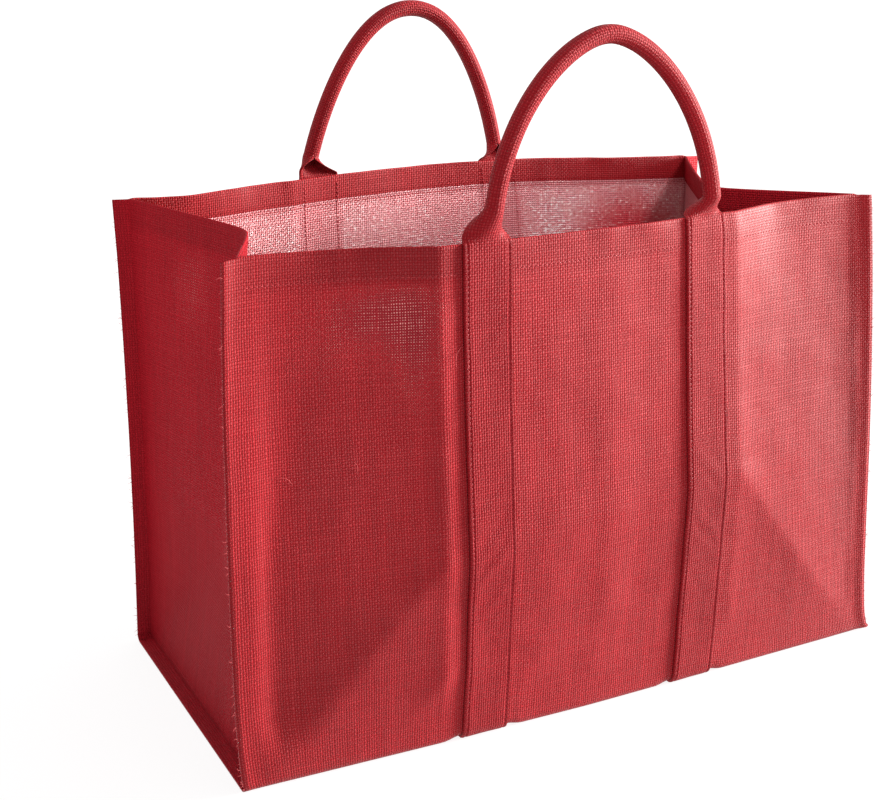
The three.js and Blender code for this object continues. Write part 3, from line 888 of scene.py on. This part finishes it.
left_end = end_panel("left_end_jute_sheet", -1, LEFT_SEAM, 0, "left")
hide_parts("gusset_left")
right_end = end_panel("right_end_jute_sheet", 1, RIGHT_SEAM, len(across) - 1, "right")
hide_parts("gusset_right")


# The straps and hand loops


def surface_at(row, place):
    """A place on the body's outer face, and its normal, between the columns of the grid."""
    spot = np.interp(place, across, np.arange(len(across)))
    low = np.clip(spot.astype(int), 0, len(across) - 2)
    share = (spot - low)[:, None]
    point = surface[row, low] * (1 - share) + surface[row, low + 1] * share
    normal = unit(normals[row, low] * (1 - share) + normals[row, low + 1] * share)
    return point, normal


# The cross-section of a strap, from its middle to either edge: how thick it stands at each place.
# The groove near the edge is where the stitches pull it in
STRAP_PROFILE = table(
    "place thick",
    (0, 2.2),
    (15.5, 2.4),
    (16.8, 2.2),
    (17.5, 1.7),
    (18.2, 2.4),
    (19.0, 2.6),
    (19.9, 2.3),
    (20.4, 1.5),
    (20.5, 0.5),
)
STRAP_PLACES = np.unique(
    np.concatenate([-STRAP_PROFILE["place"], STRAP_PROFILE["place"], np.linspace(-19, 19, 21)])
)
strap_thick = np.interp(np.abs(STRAP_PLACES), STRAP_PROFILE["place"], STRAP_PROFILE["thick"])


def strap_wrinkles(places, height, seed):
    """Slanting wrinkles where a strap slackened between its two rows of stitches."""
    inside = smoothstep(15.5 - np.abs(places), 0, 7)
    slant = (height + (0.9 if seed < 0 else -0.9) * places + seed) / 17
    where = hill(height, 165, 60) + 0.4 * hill(height, 340, 30)
    paces = ((0.41, 0), (0.67, 2), (0.97, 4))
    waves = sum(np.sin(2 * math.pi * slant * pace + turn) for pace, turn in paces)
    return 0.22 * inside * where * waves


def loop_line(necks, left, right, foot, height, lean, spread, point):
    """Centre line of a hand loop, as points at even distances, and the way its front looks."""
    start, end = np.array([*left, foot], float), np.array([*right, foot], float)
    half = (end - start) / 2
    along = unit(half)
    up = np.array(Matrix.Rotation(-math.radians(lean), 3, Vector(along)) @ Vector((0, 0, 1)))
    first, last = (math.asin((neck / height) ** (1 / point)) for neck in necks)
    angle = np.linspace(first, math.pi - last, 600)
    swing = -np.sign(np.cos(angle)) * np.abs(np.cos(angle)) ** spread
    rises = height * np.sin(angle) ** point
    line = (start + end) / 2 + swing[:, None] * half + rises[:, None] * up

    def at(rise, side):
        turn = np.arcsin((rise / height) ** (1 / point))
        swing = -side * np.abs(np.cos(turn)) ** spread
        return (start + end) / 2 + swing * half + rise * up

    length = distance_along(line)
    even = np.linspace(0, length[-1], round(length[-1] / STRIP_GRID) + 1)
    return blur(points_at(even, length, line), 3), unit(np.cross(up, along)), at


def handle_strip(name, size, side):
    """One strip: from under the base up a strap, over the hand loop and down the other strap.

    Each ring of its points holds the outer face and the inner face, from one edge to the other."""
    line, front, loop_at = loop_line(NECK_HEIGHTS[side], **size)
    if front[1] * side < 0:
        front = -front
    rim_row = 0 if side < 0 else len(surface) - 1
    rows = range(MIDDLE_ROW, rim_row - 1, -1) if side < 0 else range(MIDDLE_ROW + 1, rim_row + 1)

    def flat_rings(which):
        """The strap on the bag, from the middle of the base to the rim."""
        rings = []
        for row in rows:
            height = surface[row, MIDDLE_COLUMN, 2]
            centre = strap_centre(which, side, height)
            point, normal = surface_at(row, centre + STRAP_PLACES)
            # Pressed flat under the base, where the bag stands on it
            full = smoothstep(height, 6, 40)
            thick = np.minimum(strap_thick, STRAP_CLOTH) * (1 - full) + strap_thick * full
            thick = thick + strap_wrinkles(STRAP_PLACES, height, STRAP_CENTRES[which] * side)
            under = point + normal * PIECE_GAP
            rings.append((under + normal * thick[:, None], under))
        return rings

    def neck_ring(middle, width, out, curl):
        """A ring of the strap as it rolls up: flat at curl 0, a closed tube at curl 1."""
        bend = max(curl / ROLL_RADIUS, 1e-5)
        reach = np.minimum(1, (math.pi - 0.03) / (HALF_STRAP * bend))
        turn = STRAP_PLACES * reach * bend
        sideways, back = np.sin(turn) / bend, (1 - np.cos(turn)) / bend
        base = middle + width * sideways[:, None] - out * back[:, None]
        normal = out * np.cos(turn)[:, None] + width * np.sin(turn)[:, None]
        closed = smoothstep(curl, 0.5, 1)
        half = (strap_thick[:, None] * (1 - closed) + STRAP_CLOTH * closed) / 2
        return base + normal * half, base - normal * half

    def neck_rings(which, end):
        """The neck above the rim, where the strap rolls up and swings into the line of the loop.

        end is 1 at the left strap, where the line starts, and -1 at the right one."""
        centre = strap_centre(which, side, RIM_HEIGHT)
        middle_point, middle_normal = surface_at(rim_row, np.array([centre]))
        origin = middle_point[0] + middle_normal[0] * (PIECE_GAP + STRAP_CLOTH / 2)
        rings = []
        neck = NECK_HEIGHTS[side][which]
        for rise in np.linspace(0, neck, 13)[1:-1]:
            share = float(smoothstep(rise, 0, neck))
            turned = float(smoothstep(rise, 0, 10))
            straight = origin + np.array([0, 0, rise])
            centre_point = straight + (loop_at(rise, end) - straight) * share
            out = unit(middle_normal[0] * (1 - turned) + front * turned)
            travel = unit(np.array([0, 0, 1.0]) * (1 - share) + loop_tangent(end) * share)
            width = unit(np.cross(travel, out)) * (1 if side < 0 else -1)
            curl = (rise / neck) ** (1 if side < 0 else 1.4)
            rings.append(neck_ring(centre_point + out * ROLL_RADIUS * share, width, out, curl))
        return rings

    def loop_tangent(end):
        return unit(line[2] - line[0]) if end > 0 else unit(line[-3] - line[-1])

    left = flat_rings(0) + neck_rings(0, 1)
    right = flat_rings(1) + neck_rings(1, -1)
    tube = []
    for i, point in enumerate(line):
        travel = unit(line[min(i + 1, len(line) - 1)] - line[max(i - 1, 0)])
        width = unit(np.cross(travel, front)) * (1 if side < 0 else -1)
        tube.append(neck_ring(point + front * ROLL_RADIUS, width, front, 1.0))
    mirrored = [(o[::-1], n[::-1]) for o, n in right]
    rings = left + tube + mirrored[::-1]
    ring_points = np.stack([np.concatenate([o, n[::-1]]) for o, n in rings])
    along = distance_along(ring_points[:, len(STRAP_PLACES) // 2])
    ring_u = np.concatenate([STRAP_PLACES, STRAP_PLACES[::-1] + 60])
    count, size_of_ring = ring_points.shape[:2]
    faces, places = [], []
    for r in range(count - 1):
        for c in range(size_of_ring):
            n = (c + 1) % size_of_ring
            low, high = r * size_of_ring, (r + 1) * size_of_ring
            faces.append([low + c, low + n, high + n, high + c])
            u0, u1 = ring_u[c], ring_u[n] if abs(ring_u[n] - ring_u[c]) < 10 else ring_u[c] + 2
            places.append([(u0, along[r]), (u1, along[r]), (u1, along[r + 1]), (u0, along[r + 1])])
    for r, order in ((0, -1), (count - 1, 1)):
        faces.append([r * size_of_ring + c for c in range(size_of_ring)][::order])
        places.append([(ring_u[c], along[r]) for c in range(size_of_ring)][::order])
    piece = make_piece(name, ring_points.reshape(-1, 3), faces, places, [strap_jute])
    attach(piece, "root")
    return piece


front_strip = handle_strip("front_strap_and_hand_loop", FRONT_LOOP, -1)
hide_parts("handle_strip_front")
back_strip = handle_strip("back_strap_and_hand_loop", BACK_LOOP, 1)
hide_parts("handle_strip_back")


# Sewing thread, one stitch at a time


def thin_tubes(name, paths, radii, sides, upwards, material):
    """A piece made of one thin closed tube along each path, with a radius for each of its rings."""
    travel = unit(np.gradient(paths, axis=1))
    aside = unit(np.cross(travel, upwards))
    top = np.cross(aside, travel)
    turn = np.linspace(0, 2 * math.pi, sides, endpoint=False)[:, None]
    around = aside[:, :, None] * np.cos(turn) + top[:, :, None] * np.sin(turn)
    rings = paths[:, :, None] + around * radii[:, None, None]
    number, count = rings.shape[:2]
    faces = []
    for tube in range(number):
        start = tube * count * sides
        for r in range(count - 1):
            for c in range(sides):
                n = (c + 1) % sides
                low, high = start + r * sides, start + (r + 1) * sides
                faces.append([low + c, low + n, high + n, high + c])
        faces.append([start + c for c in range(sides)][::-1])
        faces.append([start + (count - 1) * sides + c for c in range(sides)])
    places = [[(0.0, 0.0)] * len(face) for face in faces]
    piece = make_piece(name, rings.reshape(-1, 3), faces, places, [material])
    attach(piece, "root")
    return piece


STITCH_PITCH = 4
STITCH_LENGTH = 3.1
THREAD_RADIUS = 0.34
THREAD_TAPER = np.array([0.6, 1, 1, 1, 0.6])
# The rows of stitches lie this far from the middle of a strap, in a groove of this thickness, and
# this far above the edge of a hem
STITCH_ROW = 17.5
GROOVE_THICK = 1.75
HEM_STITCH = 3.5


def stitch_paths(line, normal):
    """Stitches along a line that lies on the cloth: each rises out of the cloth and dives back."""
    length = distance_along(line)
    starts = np.arange(1.5, length[-1] - STITCH_LENGTH - 1, STITCH_PITCH)
    shares = np.array([0, 0.12, 0.5, 0.88, 1])
    rise = np.array([-0.5, 0.25, 0.5, 0.25, -0.5]) * THREAD_RADIUS
    spots = starts[:, None] + shares * STITCH_LENGTH
    up = unit(points_at(spots, length, normal))
    return points_at(spots, length, line) + up * rise[:, None], up


def sewn_lines():
    """Every visible row of stitches: both edges of each strap, outside and in, and the hems."""
    lines = []
    columns = np.arange(LEFT_SEAM + 1, RIGHT_SEAM)
    for side in (-1, 1):
        rows = [r for r in range(FACE_ROWS) if 5 < face_heights[r] < RIM_HEIGHT - 3]
        rows = rows if side < 0 else [len(surface) - 1 - r for r in rows]
        heights = surface[rows, MIDDLE_COLUMN, 2]
        for which, edge in ((0, -1), (0, 1), (1, -1), (1, 1)):
            places = strap_centre(which, side, heights) + edge * STITCH_ROW
            spots = [surface_at(row, np.array([place])) for row, place in zip(rows, places)]
            point, normal = (np.array([spot[i][0] for spot in spots]) for i in (0, 1))
            spots = zip(rows, places)
            thick = [np.interp(place, across, body_thickness[row]) for row, place in spots]
            lines.append((point + normal * (PIECE_GAP + GROOVE_THICK), normal))
            lines.append((point - normal * np.array(thick)[:, None], -normal))
        row = rows[int(np.argmin(np.abs(heights - (RIM_HEIGHT - HEM_DEPTH + HEM_STITCH))))]
        clear = np.ones(len(columns), bool)
        for which in (0, 1):
            from_strap = np.abs(across[columns] - strap_centre(which, side, RIM_HEIGHT))
            clear &= from_strap > HALF_STRAP + 1
        for run in np.split(columns, np.flatnonzero(np.diff(clear.astype(int))) + 1):
            if clear[run[0] - columns[0]] and len(run) > 3:
                lines.append((surface[row, run], normals[row, run]))
        inwards = -normals[row, columns]
        inner = surface[row, columns] + inwards * body_thickness[row, columns][:, None]
        lines.append((inner, inwards))
    return lines


# Spun polyester sewing thread, dyed to match: smoother than the jute, with a soft shine
sewing_thread = empty_material("spun_polyester_sewing_thread")
thread_fuzz = add_node(sewing_thread, "TexNoise", {"Scale": 900.0, "Detail": 2.0})
thread_dye = add_node(
    sewing_thread,
    "Mix",
    {0: thread_fuzz, 6: colour("#98101a"), 7: colour("#bc3038")},
    2,
    data_type="RGBA",
)
thread_bump = add_node(
    sewing_thread, "Bump", {"Strength": 0.5, "Distance": 0.0002, "Height": thread_fuzz}
)
thread_shader = add_node(
    sewing_thread,
    "BsdfPrincipled",
    {"Base Color": thread_dye, "Roughness": 0.45, "Specular IOR Level": 0.4, "Normal": thread_bump},
)
add_node(sewing_thread, "OutputMaterial", {"Surface": thread_shader})

stitches = [stitch_paths(*line) for line in sewn_lines()]
stitching = thin_tubes(
    "sewing_thread_stitches",
    np.concatenate([line for line, _ in stitches]),
    THREAD_TAPER * THREAD_RADIUS,
    6,
    np.concatenate([up for _, up in stitches]),
    sewing_thread,
)

# Loose fibres: listed ones on the front, as across, height, angle and length, and short ones
# along the raw edges of the lips
FACE_FIBRES = (
    (-124, 336, 250, 17),
    (-209, 248, 110, 9),
    (-259, 240, 150, 12),
    (-60, 150, 20, 8),
    (186, 90, 70, 9),
)
LIP_FIBRES = 70
FIBRE_RADII = np.array([1, 1, 0.95, 0.9, 0.8, 0.6, 0.3]) * 0.16


def fibre_path(root, travel, lift, length, bow):
    """One fibre that leaves the cloth, bows to one side and hangs free at its end."""
    share = np.linspace(0, 1, len(FIBRE_RADII))[:, None]
    aside = unit(np.cross(travel, lift))
    rise = lift * (0.3 + 0.12 * length * np.sin(share * 2.2))
    return root + travel * length * share + aside * bow * length * np.sin(share * math.pi) + rise


def loose_fibres():
    chance = np.random.default_rng(11)
    paths, ups = [], []
    for place, height, angle, length in FACE_FIBRES:
        row = int(np.argmin(np.abs(face_heights - height)))
        root, lift = (value[0] for value in surface_at(row, np.array([float(place)])))
        travel = np.array([math.cos(math.radians(angle)), 0, math.sin(math.radians(angle))])
        travel = unit(travel - lift * (travel @ lift))
        paths.append(fibre_path(root, travel, lift, length, 0.18))
        ups.append(np.repeat(lift[None], len(FIBRE_RADII), axis=0))
    for column, outwards_x in ((0, -1), (len(across) - 1, 1)):
        for rows in (range(2, FACE_ROWS), range(len(surface) - FACE_ROWS, len(surface) - 2)):
            for row in chance.choice(np.array(rows), LIP_FIBRES):
                lift = normals[row, column]
                travel = unit(np.array([outwards_x, 0, chance.uniform(-1.4, 1.0)]))
                length, bow = chance.uniform(1.5, 5.5), chance.uniform(-0.25, 0.25)
                root = surface[row, column] - travel * 1.0 - lift * 0.7
                root = root + np.array([0, 0, chance.uniform(-GRID, GRID) / 2])
                paths.append(fibre_path(root, travel, lift, length, bow))
                ups.append(np.repeat(lift[None], len(FIBRE_RADII), axis=0))
    return np.array(paths), np.array(ups)


# Single jute fibres that stand off the cloth: thin, dyed, and pale as the light goes through them
jute_fibre = empty_material("loose_dyed_jute_fibre")
fibre_shader = add_node(
    jute_fibre,
    "BsdfPrincipled",
    {"Base Color": colour("#d05a5c"), "Roughness": 0.6, "Specular IOR Level": 0.3},
)
add_node(jute_fibre, "OutputMaterial", {"Surface": fibre_shader})
fibre_paths, fibre_ups = loose_fibres()
fibres = thin_tubes("loose_jute_fibres", fibre_paths, FIBRE_RADII, 4, fibre_ups, jute_fibre)


# Camera, light and floor

CAMERA_PLACE = (-0.585572, -1.048195, 0.608909)
YAW, PITCH, ROLL = math.radians(26.380), math.radians(17.452), math.radians(-0.2114)
ahead = Vector((math.sin(YAW), math.cos(YAW), 0))
forward = ahead * math.cos(PITCH) - Vector((0, 0, math.sin(PITCH)))
level_right = Vector((math.cos(YAW), -math.sin(YAW), 0))
level_up = level_right.cross(forward)
right = level_right * math.cos(ROLL) + level_up * math.sin(ROLL)
up = level_up * math.cos(ROLL) - level_right * math.sin(ROLL)
camera_data = bpy.data.cameras.new("photo_view")
camera_data.lens = 57.43
camera_data.sensor_width = 36
camera = put_in_scene("photo_view", camera_data)
turn = Matrix((right, up, -forward)).transposed().to_4x4()
camera.matrix_world = Matrix.Translation(CAMERA_PLACE) @ turn
bpy.context.scene.camera = camera


def studio():
    """A pale floor that glows, a big soft key light from the right, and white all round."""
    world = bpy.data.worlds.new("white_studio")
    world.use_nodes = True
    world.node_tree.nodes["Background"].inputs[0].default_value = (1, 1, 1, 1)
    world.node_tree.nodes["Background"].inputs[1].default_value = 0.75
    bpy.context.scene.world = world
    key_data = bpy.data.lights.new("soft_key", "SUN")
    key_data.energy = 10.6
    key_data.color = (1, 0.97, 0.94)
    key_data.angle = math.radians(20)
    key = put_in_scene("soft_key", key_data)
    # Low and almost along the front face, so that its folds show
    azimuth, height = math.radians(79), math.radians(8.5)
    across_floor = Vector((math.sin(azimuth), -math.cos(azimuth), 0))
    source = across_floor * math.cos(height) + Vector((0, 0, math.sin(height)))
    key.rotation_euler = source.to_track_quat("Z", "Y").to_euler()
    # A snooted lamp above the camera opens up the shadow inside the bag
    inner_data = bpy.data.lights.new("inside_fill", "SPOT")
    inner_data.energy = 60
    inner_data.spot_size = math.radians(17)
    inner_data.spot_blend = 0.8
    inner_data.shadow_soft_size = 0.15
    inner = put_in_scene("inside_fill", inner_data)
    inner.location = (0.25, -1.05, 1.25)
    aim = inner.location - Vector((0.155, 0.165, 0.38))
    inner.rotation_euler = aim.to_track_quat("Z", "Y").to_euler()
    floor_mesh = bpy.data.meshes.new("pale_floor")
    reach = 60
    corners = [(-reach, -reach, 0), (reach, -reach, 0), (reach, reach, 0), (-reach, reach, 0)]
    floor_mesh.from_pydata(corners, [], [(0, 1, 2, 3)])
    floor = put_in_scene("pale_floor", floor_mesh)
    # Matt white paint, which glows a little so that the floor stays as white as the air round it
    paint = bpy.data.materials.new("white_painted_studio_floor")
    paint.use_nodes = True
    shader = paint.node_tree.nodes["Principled BSDF"]
    shader.inputs["Base Color"].default_value = (0.2, 0.2, 0.2, 1)
    shader.inputs["Roughness"].default_value = 0.9
    shader.inputs["Emission Color"].default_value = (1, 1, 1, 1)
    shader.inputs["Emission Strength"].default_value = 0.86
    floor_mesh.materials.append(paint)


studio()
# The plain sRGB display, as in a product photo, so that dyed colours come out as their hex values
bpy.context.scene.view_settings.view_transform = "Standard"
